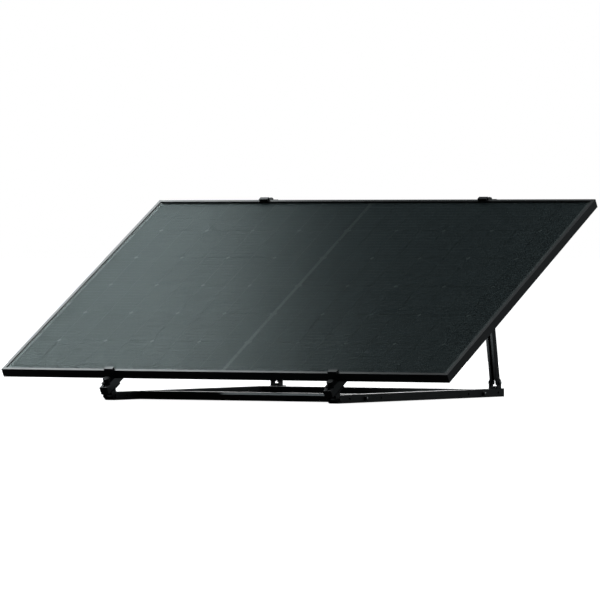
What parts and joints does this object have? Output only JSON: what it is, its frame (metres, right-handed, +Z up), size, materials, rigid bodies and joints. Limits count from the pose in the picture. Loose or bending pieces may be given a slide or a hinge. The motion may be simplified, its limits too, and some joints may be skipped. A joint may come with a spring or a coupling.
{
  "type": "tilting solar panel",
  "caption": "Framed black half-cell solar module, clamped to two sloped rails on a black tilt stand with telescoping rear legs and a flat base.",
  "frame": {"origin": "centre of the footprint on the ground, under the middle of the overall box", "axes": "+X along the long side of the module, +Y from its low edge towards its high edge, +Z up"},
  "size_m": [1.722, 1.1334, 0.6744],
  "materials": {
    "black_frame": "black anodised, satin",
    "frame_key": "mill finish",
    "sealant": "matte silicone",
    "front_glass": "clear, lightly textured, anti-reflective",
    "encapsulant": "clear film",
    "solar_cell": "black monocrystalline silicon with fine fingers",
    "ribbon": "dark grey coated",
    "backsheet": "black film",
    "box_plastic": "fine moulded texture",
    "diode": "moulded",
    "black_rail": "black anodised, semi-gloss",
    "cap_plastic": "moulded",
    "black_bracket": "black powder coat",
    "black_bolt": "black oxide, slightly glossy",
    "zinc_steel": "zinc plated",
    "black_clamp": "black anodised, satin",
    "knob_plastic": "fine moulded texture"
  },
  "bodies": {
    "base": {"base_rail_left": "black_rail", "base_rail_right": "black_rail", "base_rail_caps": "cap_plastic", "front_cross_bar": "black_rail", "rear_cross_bar": "black_rail", "cross_bar_plugs": "zinc_steel", "cross_bar_bolts": "black_bolt", "spacer_sleeves": "zinc_steel", "hinge_bolts": "black_bolt", "hinge_nuts": "black_bolt", "foot_brackets": "black_bracket", "foot_bracket_bolts": "black_bolt", "foot_bracket_nuts": "zinc_steel", "foot_pivot_bolts": "black_bolt", "foot_pivot_nuts": "black_bolt"},
    "panel": {"frame_front": "black_frame", "frame_rear": "black_frame", "frame_left": "black_frame", "frame_right": "black_frame", "frame_corner_keys": "frame_key", "frame_sealant": "sealant", "front_glass": "front_glass", "front_encapsulant": "encapsulant", "solar_cells": "solar_cell", "rear_encapsulant": "encapsulant", "backsheet": "backsheet", "bus_ribbons": "ribbon", "junction_boxes": "box_plastic", "junction_box_lids": "box_plastic", "bypass_diodes": "diode", "cable_glands": "box_plastic", "tilt_rail_left": "black_rail", "tilt_rail_right": "black_rail", "tilt_rail_caps": "cap_plastic", "hinge_brackets": "black_bracket", "leg_top_brackets": "black_bracket", "rail_bracket_bolts": "black_bolt", "rail_bracket_nuts": "zinc_steel"},
    "leg_lower_left": {"leg_lower_left": "black_rail", "leg_lock_left": "black_bolt"},
    "leg_upper_left": {"leg_upper_left": "black_rail", "leg_top_bolt_left": "black_bolt"},
    "leg_lower_right": {"leg_lower_right": "black_rail", "leg_lock_right": "black_bolt"},
    "leg_upper_right": {"leg_upper_right": "black_rail", "leg_top_bolt_right": "black_bolt"},
    "clamp_front_left": {"end_clamp_front_left": "black_clamp", "clamp_bolt_front_left": "black_bolt"},
    "knob_front_left": {"clamp_knob_front_left": "knob_plastic"},
    "clamp_front_right": {"end_clamp_front_right": "black_clamp", "clamp_bolt_front_right": "black_bolt"},
    "knob_front_right": {"clamp_knob_front_right": "knob_plastic"},
    "clamp_rear_left": {"end_clamp_rear_left": "black_clamp", "clamp_bolt_rear_left": "black_bolt"},
    "knob_rear_left": {"clamp_knob_rear_left": "knob_plastic"},
    "clamp_rear_right": {"end_clamp_rear_right": "black_clamp", "clamp_bolt_rear_right": "black_bolt"},
    "knob_rear_right": {"clamp_knob_rear_right": "knob_plastic"}
  },
  "joints": [
    {"name": "tilt", "type": "hinge", "parent": "base", "child": "panel", "pos_m": [0, -0.51931, 0.014], "axis": [1, 0, 0], "range_deg": [-5, 10]},
    {"name": "leg_swing_left", "type": "hinge", "parent": "base", "child": "leg_lower_left", "pos_m": [-0.432, 0.52969, 0.048], "axis": [1, 0, 0], "range_deg": [-3.5, 6.9]},
    {"name": "leg_slide_left", "type": "slide", "parent": "leg_lower_left", "child": "leg_upper_left", "axis": [0, -0.1785, 0.9839], "range_m": [-0.0902, 0.1803]},
    {"name": "leg_swing_right", "type": "hinge", "parent": "base", "child": "leg_lower_right", "pos_m": [0.432, 0.52969, 0.048], "axis": [1, 0, 0], "range_deg": [-3.5, 6.9]},
    {"name": "leg_slide_right", "type": "slide", "parent": "leg_lower_right", "child": "leg_upper_right", "axis": [0, -0.1785, 0.9839], "range_m": [-0.0902, 0.1803]},
    {"name": "clamp_slide_front_left", "type": "slide", "parent": "panel", "child": "clamp_front_left", "axis": [0, -0.866, -0.5], "range_m": [0, 0.012]},
    {"name": "knob_turn_front_left", "type": "hinge", "parent": "clamp_front_left", "child": "knob_front_left", "pos_m": [-0.432, -0.54168, 0.06575], "axis": [0, -0.5, 0.866], "continuous": true},
    {"name": "clamp_slide_front_right", "type": "slide", "parent": "panel", "child": "clamp_front_right", "axis": [0, -0.866, -0.5], "range_m": [0, 0.012]},
    {"name": "knob_turn_front_right", "type": "hinge", "parent": "clamp_front_right", "child": "knob_front_right", "pos_m": [0.432, -0.54168, 0.06575], "axis": [0, -0.5, 0.866], "continuous": true},
    {"name": "clamp_slide_rear_left", "type": "slide", "parent": "panel", "child": "clamp_rear_left", "axis": [0, 0.866, 0.5], "range_m": [0, 0.012]},
    {"name": "knob_turn_rear_left", "type": "hinge", "parent": "clamp_rear_left", "child": "knob_rear_left", "pos_m": [-0.432, 0.48716, 0.65975], "axis": [0, -0.5, 0.866], "continuous": true},
    {"name": "clamp_slide_rear_right", "type": "slide", "parent": "panel", "child": "clamp_rear_right", "axis": [0, 0.866, 0.5], "range_m": [0, 0.012]},
    {"name": "knob_turn_rear_right", "type": "hinge", "parent": "clamp_rear_right", "child": "knob_rear_right", "pos_m": [0.432, 0.48716, 0.65975], "axis": [0, -0.5, 0.866], "continuous": true}
  ],
  "couplings": [
    {"joint": "leg_swing_left", "follows": "tilt", "ratio": 0.68},
    {"joint": "leg_slide_left", "follows": "tilt", "m_per_rad": 1.0319},
    {"joint": "leg_swing_right", "follows": "tilt", "ratio": 0.68},
    {"joint": "leg_slide_right", "follows": "tilt", "m_per_rad": 1.0319}
  ]
}
